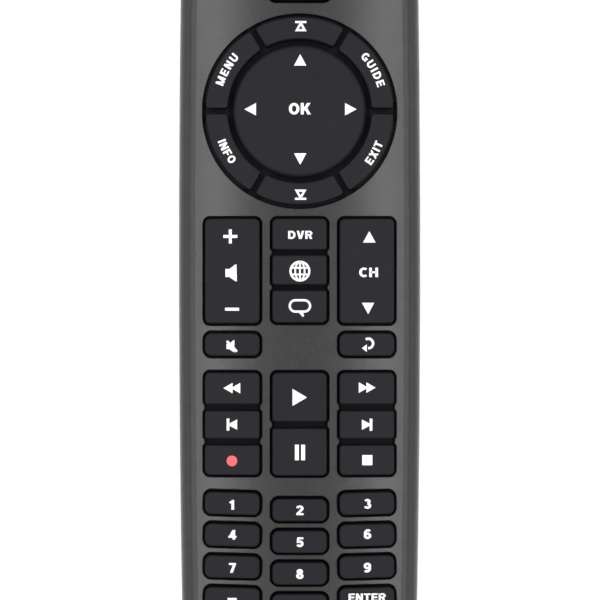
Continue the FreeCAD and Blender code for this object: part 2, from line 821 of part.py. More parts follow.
def circuit_board():
    height = board_high_y - board_low_y
    face = rounded_outline(2 * board_half_width, height, (board_corner,) * 4)
    board = placed_prism(face, 0, (board_low_y + board_high_y) / 2, 0, board_bottom, board_top)
    return board.cut(boss_holes(0, mat_top, boss_radius + screw_clearance))


def stem_places():
    places = [(key.x, key.y) for key in push_keys]
    for key in rockers:
        places += [(key.x, key.y - rocker_stem_offset), (key.x, key.y + rocker_stem_offset)]
    places += [ring_stem_place(index) for index in range(len(ring_names))]
    return places


def keypad_mat():
    height = mat_high_y - mat_low_y
    face = rounded_outline(2 * mat_half_width, height, (board_corner,) * 4)
    sheet = placed_prism(face, 0, (mat_low_y + mat_high_y) / 2, 0, board_top, mat_top)
    holes = [rod((x, y, 0), (x, y, key_bottom), stem_radius + stem_clearance) for x, y in stem_places()]
    holes.append(rod((0, nav_y, 0), (0, nav_y, key_bottom), nav_mat_opening))
    return sheet.cut(holes + boss_holes(0, key_bottom, boss_radius + stem_clearance))


def main_chip():
    low = board_bottom - chip_height
    body = box((-chip_width / 2, chip_width / 2), (chip_y - chip_length / 2, chip_y + chip_length / 2),
               (low, board_bottom - chip_standoff))
    leads = []
    for side in (-1, 1):
        for index in range(chip_lead_count):
            y = chip_y + (index - (chip_lead_count - 1) / 2) * chip_lead_pitch
            inside = side * (chip_width / 2 - chip_lead_root)
            outside = side * (chip_width / 2 + chip_lead_reach)
            leads.append(box(sorted((inside, outside)), (y - chip_lead_width / 2, y + chip_lead_width / 2),
                             (board_bottom - chip_lead_thickness, board_bottom)))
    return body.fuse(leads).removeSplitter()


def resonator():
    width, depth, height = resonator_size
    x, y = resonator_place
    low = board_bottom - height
    body = placed_prism(rounded_outline(width, depth, (resonator_corner,) * 4), x, y, 0, low, board_bottom)
    rim = [edge for edge in body.Edges if edge.BoundBox.ZMax < low + height / 2]
    return body.makeFillet(resonator_edge_round, rim)


def capacitor():
    x, y = capacitor_place
    z = board_bottom - capacitor_radius
    can = rod((x, y, z), (x, y + capacitor_length, z), capacitor_radius)
    start = (x, y + capacitor_groove_offset, z)
    end = (x, y + capacitor_groove_offset + capacitor_groove_width, z)
    core = rod(start, end, capacitor_radius - capacitor_groove_depth)
    can = can.cut(rod(start, end, 2 * capacitor_radius).cut(core))
    half = capacitor_lead_width / 2
    bend_y = y - capacitor_lead_bend
    leads = []
    for side in (-1, 1):
        lead_x = x + side * capacitor_radius / 2
        span_x = (lead_x - half, lead_x + half)
        leads.append(box(span_x, (bend_y, y + half), (z - half, z + half)))
        leads.append(box(span_x, (bend_y, bend_y + capacitor_lead_width), (z - half, board_bottom)))
    return can.fuse(leads).removeSplitter()


def ir_leds():
    start = board_high_y + led_board_gap
    axis_z = board_bottom - led_lead_width / 2
    leds = []
    for x in (-led_offset_x, led_offset_x):
        straight_end = start + led_length - led_radius
        body = rod((x, start, axis_z), (x, straight_end, axis_z), led_radius)
        dome = Part.makeSphere(led_radius, FreeCAD.Vector(x, straight_end, axis_z))
        collar = rod((x, start, axis_z), (x, start + led_collar_length, axis_z), led_collar_radius)
        leads = []
        for side in (-1, 1):
            lead_x = x + side * led_lead_spacing / 2
            leads.append(box((lead_x - led_lead_width / 2, lead_x + led_lead_width / 2),
                             (start - led_lead_length, start + led_lead_width),
                             (board_bottom - led_lead_width, board_bottom)))
        leds.append(body.fuse([dome, collar] + leads).removeSplitter())
    return Part.Compound(leds)


def ir_window():
    """Dark lens that follows the casing's end, with a flange behind the front shell's wall."""
    seat_inset = wall + window_clearance
    seat = plan_prism(seat_inset, 0, above_everything)
    inner = plan_prism(seat_inset + window_flange_thickness, 0, above_everything)
    lens = casing_solid(0.0).cut(inner).common(window_box(0.0))
    flange = seat.cut(inner).common(window_box(window_flange))
    return lens.fuse(flange).removeSplitter()


def light_pipe():
    foot = board_top + indicator_height + pipe_foot_gap
    pipe = rod((0, indicator_y, foot), (0, indicator_y, above_everything), pipe_radius)
    pipe = pipe.common(crowned_block(pipe_proud))
    flange_top = ceiling_height - wing_clearance
    flange = rod((0, indicator_y, flange_top - pipe_flange_thickness), (0, indicator_y, flange_top),
                 pipe_flange_radius)
    return pipe.fuse(flange).removeSplitter()


def status_led():
    half = indicator_width / 2
    body = box((-half, half), (indicator_y - half / 2, indicator_y + half / 2),
               (board_top, board_top + indicator_height))
    return body


def battery(x, nub_side, nub_tip_y):
    """AA cell with its nub pointing up the remote (1) or down it (-1)."""
    shoulder = nub_tip_y - nub_side * cell_nub_length
    tail = nub_tip_y - nub_side * cell_length
    can = rod((x, tail, cell_height), (x, shoulder, cell_height), cell_radius)
    rims = [edge for edge in can.Edges if edge.BoundBox.YLength < cell_edge_round]
    can = can.makeFillet(cell_edge_round, rims)
    nub_root = shoulder - nub_side * cell_nub_length
    nub = rod((x, nub_root, cell_height), (x, nub_tip_y, cell_height), cell_nub_radius)
    return can.fuse(nub).removeSplitter()


def contact_plate(x, wall_y, side):
    """Upright strip against a bay wall; side is the way it faces along Y."""
    span_y = sorted((wall_y, wall_y + side * contact_thickness))
    return box((x - contact_width / 2, x + contact_width / 2), span_y,
               (cell_height - contact_height / 2, cell_height + contact_height / 2))


def leaf_spring(x, wall_y, side):
    """Bowed leaf: up from the plate's foot to the cell, then back down behind its own nose."""
    start = wall_y + side * contact_thickness / 2
    nose = wall_y + side * leaf_reach
    low = cell_height - contact_height / 2
    high = cell_height + contact_height / 4
    outline = [
        (start, low),
        (nose, cell_height),
        (nose - side * leaf_reach / 3, high),
        (nose - side * (leaf_reach / 3 + leaf_slant), high),
        (nose - side * leaf_slant, cell_height),
        (start, low + leaf_slant),
        (start, low),
    ]
    points = [FreeCAD.Vector(x - leaf_width / 2, y, z) for y, z in outline]
    return Part.Face(Part.makePolygon(points)).extrude(FreeCAD.Vector(leaf_width, 0, 0))


def solder_tab(x, wall_y, side):
    """Tab from the plate up through the bay's roof to the board."""
    span_y = sorted((wall_y, wall_y + side * contact_thickness))
    return box((x - contact_tab_width / 2, x + contact_tab_width / 2), span_y, (cell_height, board_bottom))


def contact_positive():
    plate = contact_plate(left_cell_x, bay_high_y, -1)
    dimple = rod((left_cell_x, bay_high_y - contact_thickness, cell_height),
                 (left_cell_x, bay_high_y - contact_thickness - contact_press, cell_height), cell_nub_radius)
    return plate.fuse([dimple, solder_tab(left_cell_x, bay_high_y, -1)]).removeSplitter()


def contact_negative():
    plate = contact_plate(right_cell_x, bay_high_y, -1)
    leaf = leaf_spring(right_cell_x, bay_high_y, -1)
    return plate.fuse([leaf, solder_tab(right_cell_x, bay_high_y, -1)]).removeSplitter()


def contact_bridge():
    left = contact_plate(left_cell_x, bay_low_y, 1)
    right = contact_plate(right_cell_x, bay_low_y, 1)
    strap = box((left_cell_x, right_cell_x), (bay_low_y, bay_low_y + contact_thickness),
                (cell_height - contact_height / 4, cell_height + contact_height / 4))
    dimple = rod((right_cell_x, bay_low_y, cell_height),
                 (right_cell_x, bay_low_y + contact_thickness + contact_press, cell_height), cell_nub_radius)
    leaf = leaf_spring(left_cell_x, bay_low_y, 1)
    return left.fuse([right, strap, dimple, leaf]).removeSplitter()


def housing_screws():
    """Self-tapping screws with a cross recess, driven from the back."""
    head_low = screw_seat_height - screw_head_height
    tip_base = screw_seat_height + screw_length - screw_shank_radius
    half = driver_slot_width / 2
    reach = driver_slot_length / 2
    slot_z = (head_low - driver_slot_depth, head_low + driver_slot_depth)
    screws = []
    for x, y in boss_places:
        head = rod((x, y, head_low), (x, y, screw_seat_height), screw_head_radius)
        shank = rod((x, y, head_low), (x, y, tip_base), screw_shank_radius)
        tip = Part.makeCone(screw_shank_radius, screw_tip_radius, screw_shank_radius,
                            FreeCAD.Vector(x, y, tip_base), FreeCAD.Vector(0, 0, 1))
        slots = [
            box((x - reach, x + reach), (y - half, y + half), slot_z),
            box((x - half, x + half), (y - reach, y + reach), slot_z),
        ]
        screws.append(head.fuse([shank, tip]).cut(slots).removeSplitter())
    return Part.Compound(screws)


os.makedirs("parts", exist_ok=True)
save("front_housing", front_housing())
save("rear_housing", rear_housing())
save("battery_cover", battery_cover())
save("keypad_mat", keypad_mat())
save("circuit_board", circuit_board())
save("main_chip", main_chip())
save("resonator", resonator())
save("capacitor", capacitor())
save("ir_leds", ir_leds())
save("ir_window", ir_window())
save("status_led", status_led())
save("light_pipe", light_pipe())
upper_tip_y = bay_high_y - contact_thickness - contact_press
lower_tip_y = bay_low_y + contact_thickness + contact_press
save("battery_left", battery(left_cell_x, 1, upper_tip_y))
save("battery_right", battery(right_cell_x, -1, lower_tip_y))
save("contact_positive", contact_positive())
save("contact_negative", contact_negative())
save("contact_bridge", contact_bridge())
save("housing_screws", housing_screws())
save("nav_plunger", nav_plunger())
save("nav_rocker_plate", nav_rocker_plate())
save("nav_disc", nav_disc())
for ring_index, ring_name in enumerate(ring_names):
    save(ring_name, ring_key(ring_index))
for rocker in rockers:
    save(rocker.name, rocker_key(rocker))
for key in push_keys:
    save(key.name, push_key(key))
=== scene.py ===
import math

import bmesh
import bpy
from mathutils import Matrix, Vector
from mathutils.bvhtree import BVHTree


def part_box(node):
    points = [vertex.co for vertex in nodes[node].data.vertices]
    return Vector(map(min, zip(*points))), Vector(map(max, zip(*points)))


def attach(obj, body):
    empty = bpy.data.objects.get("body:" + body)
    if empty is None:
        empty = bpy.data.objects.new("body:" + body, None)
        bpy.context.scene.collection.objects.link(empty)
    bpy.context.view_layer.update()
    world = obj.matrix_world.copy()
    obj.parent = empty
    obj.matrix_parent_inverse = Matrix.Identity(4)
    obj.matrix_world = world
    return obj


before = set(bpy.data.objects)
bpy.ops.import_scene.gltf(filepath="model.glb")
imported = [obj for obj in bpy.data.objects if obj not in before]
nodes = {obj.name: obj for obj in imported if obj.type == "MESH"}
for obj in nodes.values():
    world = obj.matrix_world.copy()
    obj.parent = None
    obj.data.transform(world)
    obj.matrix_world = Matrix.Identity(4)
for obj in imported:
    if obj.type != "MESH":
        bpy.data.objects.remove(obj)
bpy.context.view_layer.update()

# The view: straight down on the face, infrared end up, as close as the photograph
# shows it. A pixel there is 0.2176 mm on the shell's flanks, a little below its
# crown, and the keys' middle column stands at pixel 299.6.
PICTURE = 600
PIXEL = 0.0002176
AXIS_PIXEL = 299.6
FACE_HEIGHT = 0.0239
FLANK_DEPTH = 0.0014
CAP_HEIGHT = 0.0255
CAMERA_DISTANCE = 0.60
SENSOR = 36.0


def seen_at(px, py, height=FACE_HEIGHT):
    """The place at a height that shows at a pixel of the photograph."""
    near = 1 - (height - FACE_HEIGHT) / CAMERA_DISTANCE
    middle = PICTURE / 2
    return ((px - middle) * near + middle - AXIS_PIXEL) * PIXEL, (middle - py) * near * PIXEL


lens = bpy.data.cameras.new("camera")
lens.sensor_width = SENSOR
lens.lens = SENSOR * (CAMERA_DISTANCE + FLANK_DEPTH) / (PICTURE * PIXEL)
lens.clip_start = 0.01
camera = bpy.data.objects.new("camera", lens)
camera.location = (*seen_at(PICTURE / 2, PICTURE / 2), FACE_HEIGHT + CAMERA_DISTANCE)
bpy.context.collection.objects.link(camera)
bpy.context.scene.camera = camera
bpy.context.scene.view_settings.view_transform = "Standard"

# The studio: a white table, even room light, and four lamps on an arc at each side.
# The narrow strips stand almost overhead, where the flanks of the crowned face mirror
# them and its middle doesn't; the boxes below them light its rounded edges and sides.
WHITE = (1.0, 1.0, 1.0, 1.0)
ROOM_LIGHT = 0.18
TABLE_LIFT = 0.52
TABLE_HALF_WIDTH = 0.9
TABLE_HALF_LENGTH = 1.0
LAMP_LENGTH = 1.5


def maths(tree, operation, *values):
    """A sum of one kind on values, each a socket or a number."""
    node = tree.nodes.new("ShaderNodeMath")
    node.operation = operation
    for socket, value in zip(node.inputs, values):
        if isinstance(value, float):
            socket.default_value = value
        else:
            tree.links.new(value, socket)
    return node.outputs["Value"]


def looked_at(tree):
    """1 for a ray from the camera, straight or by way of a gloss or something clear."""
    ray = tree.nodes.new("ShaderNodeLightPath")
    total = ray.outputs["Is Camera Ray"]
    for kind in ("Is Glossy Ray", "Is Transmission Ray"):
        total = maths(tree, "MAXIMUM", total, ray.outputs[kind])
    return total


world = bpy.data.worlds.new("studio")
bpy.context.scene.world = world
world.use_nodes = True
room = world.node_tree
room_light = room.nodes["Background"]
room_light.inputs["Color"].default_value = WHITE
room_light.inputs["Strength"].default_value = ROOM_LIGHT
white_room = room.nodes.new("ShaderNodeBackground")
white_room.inputs["Color"].default_value = WHITE
white_room.inputs["Strength"].default_value = 1.0
room_mix = room.nodes.new("ShaderNodeMixShader")
room.links.new(looked_at(room), room_mix.inputs["Fac"])
room.links.new(room_light.outputs["Background"], room_mix.inputs[1])
room.links.new(white_room.outputs["Background"], room_mix.inputs[2])
room.links.new(room_mix.outputs["Shader"], room.nodes["World Output"].inputs["Surface"])


def soft_box(name, place, width, power):
    """A lamp beside the remote; aimed at it, the lamp's own X runs along the remote."""
    light = bpy.data.lights.new(name, "AREA")
    light.shape = "RECTANGLE"
    light.size = LAMP_LENGTH
    light.size_y = width
    light.energy = power
    holder = bpy.data.objects.new(name, light)
    holder.location = place
    aim = Vector((0.0, 0.0, FACE_HEIGHT)) - Vector(place)
    holder.rotation_euler = aim.to_track_quat("-Z", "Y").to_euler()
    bpy.context.collection.objects.link(holder)


for side_name, side in (("left", -1), ("right", 1)):
    for lamp, out, height, width, power in (("strip", 0.26, 1.10, 0.08, 4.2),
                                            ("upper_box", 0.62, 0.95, 0.4, 3.6),
                                            ("side_box", 0.75, 0.50, 0.5, 1.1),
                                            ("low_box", 0.90, 0.25, 0.4, 1.0)):
        soft_box(side_name + "_" + lamp, (side * out, 0.0, height), width, power)


def new_material(name):
    """A material, its node tree and its shader."""
    material = bpy.data.materials.new(name)
    material.use_nodes = True
    tree = material.node_tree
    return material, tree, tree.nodes["Principled BSDF"]


paper, paper_tree, paper_shader = new_material("white_paper")
paper_shader.inputs["Base Color"].default_value = (0.8, 0.8, 0.8, 1.0)
paper_shader.inputs["Roughness"].default_value = 0.9
paper_shader.inputs["Specular IOR Level"].default_value = 0.0
paper_shader.inputs["Emission Color"].default_value = WHITE
paper_tree.links.new(maths(paper_tree, "MULTIPLY", looked_at(paper_tree), TABLE_LIFT),
                     paper_shader.inputs["Emission Strength"])
corner_signs = ((-1, -1), (1, -1), (1, 1), (-1, 1))
table_corners = [(TABLE_HALF_WIDTH * x, TABLE_HALF_LENGTH * y, 0) for x, y in corner_signs]
table_mesh = bpy.data.meshes.new("sweep")
table_mesh.from_pydata(table_corners, [], [(0, 1, 2, 3)])
table_mesh.materials.append(paper)
table = bpy.data.objects.new("sweep", table_mesh)
bpy.context.collection.objects.link(table)


# The front shell: satin graphite grey plastic. Within the field of keys its steep faces,
# the walls of the key openings, are coloured near black as painted shade for the dark
# openings. Colours are given as the eye reads them on a screen, from 0 to 255.
GRAIN_SHARE = 0.7
DARK_PLACE = 0.32
LIGHT_PLACE = 0.68
GLOSS_SPREAD = 0.05
RELIEF_SHARE = 0.6
KEY_FIELD_HALF_WIDTH = 0.0237
KEY_FIELD_HALF_LENGTH = 0.094
STEEP = 0.6


def screen(red, green, blue):
    steps = []
    for value in (red, green, blue):
        share = value / 255
        steps.append(share / 12.92 if share <= 0.04045 else ((share + 0.055) / 1.055) ** 2.4)
    return (*steps, 1.0)


def noise(tree, place, size, detail):
    """Noise whose clouds have a size in metres."""
    clouds = tree.nodes.new("ShaderNodeTexNoise")
    clouds.inputs["Scale"].default_value = 1 / size
    clouds.inputs["Detail"].default_value = detail
    tree.links.new(place, clouds.inputs["Vector"])
    return clouds.outputs["Fac"]


def ramp(tree, value, stops, sharp=False):
    """Colours in order along a value, each from its place on; sharp ones don't blend."""
    bands = tree.nodes.new("ShaderNodeValToRGB")
    if sharp:
        bands.color_ramp.interpolation = "CONSTANT"
    for index, (position, colour) in enumerate(stops):
        if index < 2:
            stop = bands.color_ramp.elements[index]
            stop.position = position
        else:
            stop = bands.color_ramp.elements.new(position)
        stop.color = colour
    tree.links.new(value, bands.inputs["Fac"])
    return bands.outputs["Color"]


def vary_gloss(tree, value, low, high):
    """Roughness that follows a value between two levels."""
    gloss = tree.nodes.new("ShaderNodeMapRange")
    gloss.inputs["To Min"].default_value = low
    gloss.inputs["To Max"].default_value = high
    tree.links.new(value, gloss.inputs["Value"])
    tree.links.new(gloss.outputs["Result"], tree.nodes["Principled BSDF"].inputs["Roughness"])


def mould_plastic(name, dark, light, grain, cloud, roughness, relief, shine=0.4):
    """Plastic whose tone varies with the mould's grain and in wider clouds; sizes in metres."""
    plastic, tree, shader = new_material(name)
    shader.inputs["Specular IOR Level"].default_value = shine
    place = tree.nodes.new("ShaderNodeTexCoord").outputs["Object"]
    fine = noise(tree, place, grain, detail=3.0)
    wide = noise(tree, place, cloud, detail=2.0)
    mixed = maths(tree, "MULTIPLY_ADD", fine, GRAIN_SHARE, maths(tree, "MULTIPLY", wide, 1 - GRAIN_SHARE))
    tones = ramp(tree, mixed, ((DARK_PLACE, dark), (LIGHT_PLACE, light)))
    tree.links.new(tones, shader.inputs["Base Color"])
    vary_gloss(tree, fine, roughness - GLOSS_SPREAD, roughness + GLOSS_SPREAD)
    bump = tree.nodes.new("ShaderNodeBump")
    bump.inputs["Strength"].default_value = RELIEF_SHARE
    bump.inputs["Distance"].default_value = relief
    tree.links.new(fine, bump.inputs["Height"])
    tree.links.new(bump.outputs["Normal"], shader.inputs["Normal"])
    return plastic


def finish_in(material, *names):
    for name in names:
        nodes[name].data.materials.clear()
        nodes[name].data.materials.append(material)


def parts_of(tree, vector):
    """The X, Y and Z of a vector."""
    split = tree.nodes.new("ShaderNodeSeparateXYZ")
    tree.links.new(vector, split.inputs["Vector"])
    return split.outputs


def paint_opening_shade(plastic, shade_colour):
    """Painted shade: colour upright and downward faces within the field of keys near black, for the shade
    inside the key openings.
    """
    tree = plastic.node_tree
    place = parts_of(tree, tree.nodes.new("ShaderNodeTexCoord").outputs["Object"])
    facing = parts_of(tree, tree.nodes.new("ShaderNodeNewGeometry").outputs["True Normal"])
    near_x = maths(tree, "LESS_THAN", maths(tree, "ABSOLUTE", place["X"]), KEY_FIELD_HALF_WIDTH)
    near_y = maths(tree, "LESS_THAN", maths(tree, "ABSOLUTE", place["Y"]), KEY_FIELD_HALF_LENGTH)
    steep = maths(tree, "LESS_THAN", facing["Z"], STEEP)
    shaded_walls = maths(tree, "MULTIPLY", maths(tree, "MULTIPLY", near_x, near_y), steep)
    mix = tree.nodes.new("ShaderNodeMix")
    mix.data_type = "RGBA"
    mix.inputs["B"].default_value = shade_colour
    colour = tree.nodes["Principled BSDF"].inputs["Base Color"]
    tree.links.new(shaded_walls, mix.inputs["Factor"])
    tree.links.new(colour.links[0].from_socket, mix.inputs["A"])
    tree.links.new(mix.outputs["Result"], colour)


shell_grey = mould_plastic("shell_grey", screen(37, 37, 37), screen(51, 51, 50), grain=0.00025,
                           cloud=0.003, roughness=0.22, relief=0.000002, shine=0.31)
# Painted shade: the walls of the key openings are coloured near black.
paint_opening_shade(shell_grey, screen(7, 7, 8))
finish_in(shell_grey, "front_housing")

# The back shell and the battery cover, which runs in its side grooves: both moulded in
# charcoal plastic with a coarser matt grain, so that the hand holds it.
back_charcoal = mould_plastic("back_charcoal", screen(34, 34, 35), screen(46, 46, 47), grain=0.0004,
                              cloud=0.006, roughness=0.55, relief=0.00003, shine=0.3)
finish_in(back_charcoal, "rear_housing", "battery_cover")

# The key caps, rockers, ring keys and the cursor pad: moulded in near-black plastic
# with a satin skin and a faint grain. Shoulders under the front wall keep the keys in.
key_names = [name for name in nodes if name.endswith("_key") or name.startswith("key_")]
key_black = mould_plastic("key_black", screen(22, 22, 26), screen(28, 28, 33), grain=0.0002,
                          cloud=0.003, roughness=0.50, relief=0.000004, shine=0.11)
finish_in(key_black, "nav_disc", "volume_rocker", "channel_rocker", *key_names)


# The legends: white ink, and red for recording, laid on the caps by pad printing. Each
# is cut to its outline, laid on its cap's top and given the ink's thickness.
INK = 0.00003
INK_SPREAD = 1.04
ABOVE_CAPS = 0.05
LONG_EDGE = 0.002
SHORT_EDGE = 0.001
MERGE = 0.000001
SHARPEST = 0.4


def ink(name, colour):
    paler = tuple(min(1.0, INK_SPREAD * part) for part in colour)
    return mould_plastic(name, colour, paler, grain=0.0002, cloud=0.002, roughness=0.5, relief=0.000002)


white_ink = ink("white_ink", screen(251, 251, 251))
red_ink = ink("red_ink", screen(244, 96, 104))


def print_on(name, carrier, outlines, colour=white_ink):
    """Outlines in metres, seen from above, laid on the cap and riding with it."""
    cap = nodes[carrier].data
    tree = BVHTree.FromPolygons([v.co for v in cap.vertices], [p.vertices for p in cap.polygons])
    mesh = bmesh.new()
    for outline in outlines:
        mesh.faces.new([mesh.verts.new((x, y, 0.0)) for x, y in outline])
    bmesh.ops.triangulate(mesh, faces=mesh.faces[:])
    bmesh.ops.remove_doubles(mesh, verts=mesh.verts[:], dist=MERGE)
    for limit in (LONG_EDGE, SHORT_EDGE):
        long_edges = [edge for edge in mesh.edges if edge.calc_length() > limit]
        bmesh.ops.subdivide_edges(mesh, edges=long_edges, cuts=1, use_grid_fill=False)
        bmesh.ops.triangulate(mesh, faces=mesh.faces[:])
    bmesh.ops.recalc_face_normals(mesh, faces=mesh.faces[:])
    for face in mesh.faces:
        if face.normal.z < 0:
            face.normal_flip()
    for vert in mesh.verts:
        hit = tree.ray_cast(Vector((vert.co.x, vert.co.y, ABOVE_CAPS)), Vector((0, 0, -1)))[0]
        vert.co.z = hit.z + INK
    rim = [edge for edge in mesh.edges if edge.is_boundary]
    skirt = bmesh.ops.extrude_edge_only(mesh, edges=rim)["geom"]
    for part in skirt:
        if isinstance(part, bmesh.types.BMVert):
            part.co.z -= 2 * INK
    data = bpy.data.meshes.new(name)
    mesh.to_mesh(data)
    mesh.free()
    data.materials.append(colour)
    legend = bpy.data.objects.new(name, data)
    bpy.context.collection.objects.link(legend)
    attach(legend, carrier)


def centred(outlines, x0, y0, turn=0.0):
    """Outlines drawn in pixels round a middle point, y up, set at a place in metres."""
    cos, sin = math.cos(math.radians(turn)), math.sin(math.radians(turn))
    placed = []
    for outline in outlines:
        placed.append([(x0 + PIXEL * (x * cos - y * sin), y0 + PIXEL * (x * sin + y * cos))
                       for x, y in outline])
    return placed


def moved(outlines, px, py, turn=0.0):
    """The same, set at a pixel of the photograph, on the caps' level."""
    return centred(outlines, *seen_at(px, py, CAP_HEIGHT), turn)


def bar(width, height, x=0.0, y=0.0):
    return [(x - width / 2, y - height / 2), (x + width / 2, y - height / 2),
            (x + width / 2, y + height / 2), (x - width / 2, y + height / 2)]


def arrow_head(width, height, turn=0.0, x=0.0, y=0.0):
    """Triangle with its tip up, width across its foot; turn is in degrees."""
    cos, sin = math.cos(math.radians(turn)), math.sin(math.radians(turn))
    corners = [(-width / 2, -height / 2), (width / 2, -height / 2), (0, height / 2)]
    return [(x + a * cos - b * sin, y + a * sin + b * cos) for a, b in corners]


def stroke(points, width, closed=False):
    """Quads that follow a line of points with an even width; SHARPEST limits a corner's reach."""
    count = len(points)
    left, right = [], []
    for index, (x, y) in enumerate(points):
        before = points[index - 1] if closed or index else points[index]
        after = points[(index + 1) % count] if closed or index < count - 1 else points[index]
        ax, ay = x - before[0], y - before[1]
        bx, by = after[0] - x, after[1] - y
        if not closed and index == 0:
            ax, ay = bx, by
        if not closed and index == count - 1:
            bx, by = ax, ay
        la, lb = math.hypot(ax, ay), math.hypot(bx, by)
        nx, ny = -(ay / la + by / lb), ax / la + bx / lb
        size = math.hypot(nx, ny)
        nx, ny = nx / size, ny / size
        reach = width / 2 / max(SHARPEST, nx * (-ay / la) + ny * (ax / la))
        left.append((x + nx * reach, y + ny * reach))
        right.append((x - nx * reach, y - ny * reach))
    pieces = []
    for index in range(count if closed else count - 1):
        following = (index + 1) % count
        pieces.append([left[index], right[index], right[following], left[following]])
    return pieces


def arc(radius, start, end, steps=20, x=0.0, y=0.0, squeeze=1.0):
    points = []
    for index in range(steps + 1):
        angle = math.radians(start + (end - start) * index / steps)
        points.append((x + squeeze * radius * math.cos(angle), y + radius * math.sin(angle)))
    return points


# The type: plain bold letters and figures one unit high, each built from strokes of
# an even weight that end square. They are set somewhat broader than drawn: by BREADTH
# where a word keeps its own width, and by RING_BREADTH along the ring.
WEIGHT = 0.22
RUNG_WEIGHT = 0.9 * WEIGHT
LETTER_GAP = 0.10
BREADTH = 1.25
RING_BREADTH = 1.12
RING_END = 337.5
OWN_WIDTH = 0


def post(x, low=0.0, high=1.0):
    return bar(WEIGHT, high - low, x, (low + high) / 2)


def rung(y, left, right):
    return bar(right - left, RUNG_WEIGHT, (left + right) / 2, y)


def slant(x_low, x_high, low=0.0, high=1.0, weight=WEIGHT):
    """Straight stroke between two heights, cut level at its foot and head."""
    half = weight / 2 * math.hypot(x_high - x_low, high - low) / (high - low)
    return [(x_low - half, low), (x_low + half, low), (x_high + half, high), (x_high - half, high)]


def bowl(x, y, half_width, half_height, start=0.0, end=RING_END):
    """Round stroke inside a box; the usual start and end make a closed ring."""
    across, up = half_width - WEIGHT / 2, half_height - WEIGHT / 2
    curve = arc(up, start, end, 15, x, y, across / up)
    return stroke(curve, WEIGHT, closed=(start, end) == (0.0, RING_END))


def letter_c():
    return bowl(0.39, 0.5, 0.39, 0.51, 48, 312), 0.72


def letter_d():
    back = arc(0.4, 90, -90, 15, 0.31, 0.5, 0.75)
    return [post(0.11)] + stroke([(0.1, 0.9)] + back + [(0.1, 0.1)], WEIGHT), 0.72


def letter_g():
    return bowl(0.39, 0.5, 0.39, 0.51, 52, 318) + [rung(0.44, 0.42, 0.77), post(0.66, 0.04, 0.5)], 0.77


def letter_r():
    head = arc(0.2, 90, -90, 12, 0.38, 0.7, 1.1)
    return [post(0.11), slant(0.57, 0.38, 0.0, 0.55)] + stroke([(0.1, 0.9)] + head + [(0.1, 0.5)], 0.2), 0.70


def letter_u():
    foot = arc(0.25, 180, 360, 15, 0.36, 0.36)
    return stroke([(0.11, 1.0)] + foot + [(0.61, 1.0)], WEIGHT), 0.72


def figure_two():
    head = arc(0.205, 170, -35, 14, 0.31, 0.69)
    return stroke(head + [(0.12, 0.12)], WEIGHT) + [rung(0.1, 0.02, 0.62)], 0.62


def figure_six():
    return bowl(0.32, 0.33, 0.31, 0.335) + bowl(0.36, 0.5, 0.35, 0.51, 178, 50), 0.64


def figure_nine():
    outlines, width = figure_six()
    return [[(width - x, 1.0 - y) for x, y in outline] for outline in outlines], width


letters = {
    "A": ([slant(0.12, 0.37), slant(0.66, 0.41), rung(0.30, 0.2, 0.58)], 0.78),
    "C": letter_c(),
    "D": letter_d(),
    "E": ([post(0.11), rung(0.9, 0.1, 0.62), rung(0.51, 0.1, 0.58), rung(0.1, 0.1, 0.63)], 0.63),
    "F": ([post(0.11), rung(0.9, 0.1, 0.60), rung(0.48, 0.1, 0.55)], 0.60),
    "G": letter_g(),
    "H": ([post(0.11), post(0.61), rung(0.51, 0.1, 0.62)], 0.72),
    "I": ([post(0.11)], 0.22),
    "K": ([post(0.11), slant(0.62, 0.33, 0.0, 0.62), slant(0.22, 0.59, 0.34, 1.0)], 0.75),
    "M": ([post(0.11), post(0.79), slant(0.42, 0.14, weight=0.19), slant(0.48, 0.76, weight=0.19)], 0.90),
    "N": ([post(0.11), post(0.61), slant(0.59, 0.13)], 0.72),
    "O": (bowl(0.39, 0.5, 0.39, 0.51), 0.78),
    "R": letter_r(),
    "T": ([rung(0.9, 0.0, 0.66), post(0.33)], 0.66),
    "U": letter_u(),
    "V": ([slant(0.35, 0.12), slant(0.39, 0.62)], 0.74),
    "X": ([slant(0.13, 0.59), slant(0.59, 0.13)], 0.72),
    "0": (bowl(0.32, 0.5, 0.32, 0.51), 0.64),
    "1": ([post(0.31), [(0.04, 0.64), (0.24, 0.70), (0.24, 1.0), (0.18, 0.90), (0.04, 0.82)]], 0.46),
    "2": figure_two(),
    "3": (bowl(0.30, 0.74, 0.27, 0.27, 160, -90) + bowl(0.31, 0.30, 0.31, 0.31, 90, -160), 0.62),
    "4": ([post(0.45), rung(0.29, 0.0, 0.66), slant(0.11, 0.43, 0.24, 1.0, 0.18)], 0.66),
    "5": ([rung(0.9, 0.12, 0.60), slant(0.14, 0.19, 0.42, 0.98, 0.18)]
          + bowl(0.31, 0.335, 0.31, 0.345, 132, -155), 0.62),
    "6": figure_six(),
    "7": ([rung(0.9, 0.02, 0.61), slant(0.22, 0.48, 0.0, 0.85)], 0.62),
    "8": (bowl(0.31, 0.745, 0.27, 0.265) + bowl(0.31, 0.295, 0.31, 0.305), 0.62),
    "9": figure_nine(),
}


def word(text, width, height):
    """The text, its box width by height pixels round a middle point."""
    full = sum(letters[letter][1] for letter in text) + LETTER_GAP * (len(text) - 1)
    along = BREADTH * height if width == OWN_WIDTH else width / full
    placed = []
    start = -full / 2
    for letter in text:
        outlines, letter_width = letters[letter]
        placed += [[((start + x) * along, (y - 0.5) * height) for x, y in outline] for outline in outlines]
        start += letter_width + LETTER_GAP
    return placed


